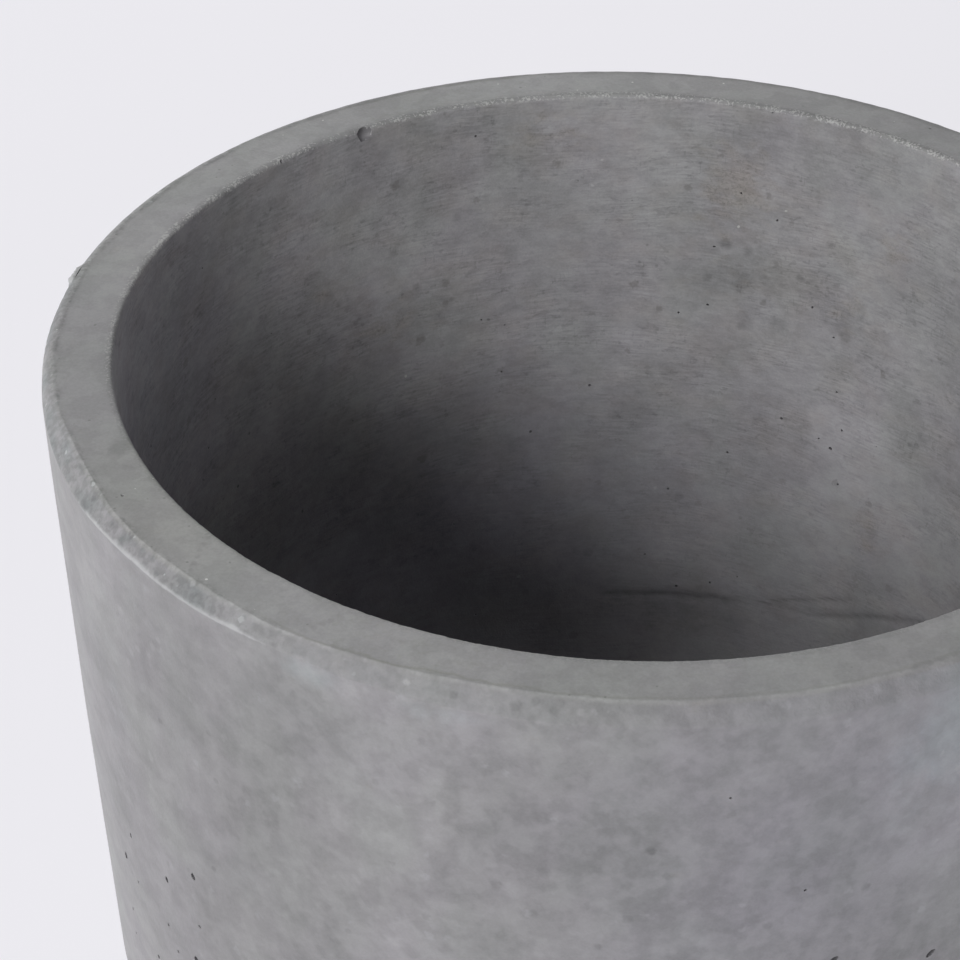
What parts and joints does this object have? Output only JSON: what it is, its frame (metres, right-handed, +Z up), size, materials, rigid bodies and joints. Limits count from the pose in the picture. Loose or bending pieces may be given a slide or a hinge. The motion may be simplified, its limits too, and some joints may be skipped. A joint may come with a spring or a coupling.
{
  "type": "bowl planter",
  "caption": "Round cast-concrete bowl planter with a flat rim and rounded bottom, on rubber pads, with a rubber stopper in its drain hole.",
  "frame": {"origin": "on the ground, under the centre of the bowl", "axes": "+Z up along the bowl's axis; -Y faces the picture's camera"},
  "size_m": [0.3497, 0.3498, 0.3],
  "materials": {
    "concrete": "matt fine-sand concrete, mottled mid grey with pinholes and worn arrises",
    "stopper_rubber": "moulded black rubber",
    "pad_rubber": "matt black rubber"
  },
  "bodies": {
    "planter": {"planter_shell": "concrete", "foot_pad_1": "pad_rubber", "foot_pad_2": "pad_rubber", "foot_pad_3": "pad_rubber", "foot_pad_4": "pad_rubber"},
    "stopper": {"drain_plug": "stopper_rubber"}
  },
  "joints": [
    {"name": "plug_lift", "type": "slide", "parent": "planter", "child": "stopper", "axis": [0, 0, 1], "range_m": [0, 0.3]}
  ]
}
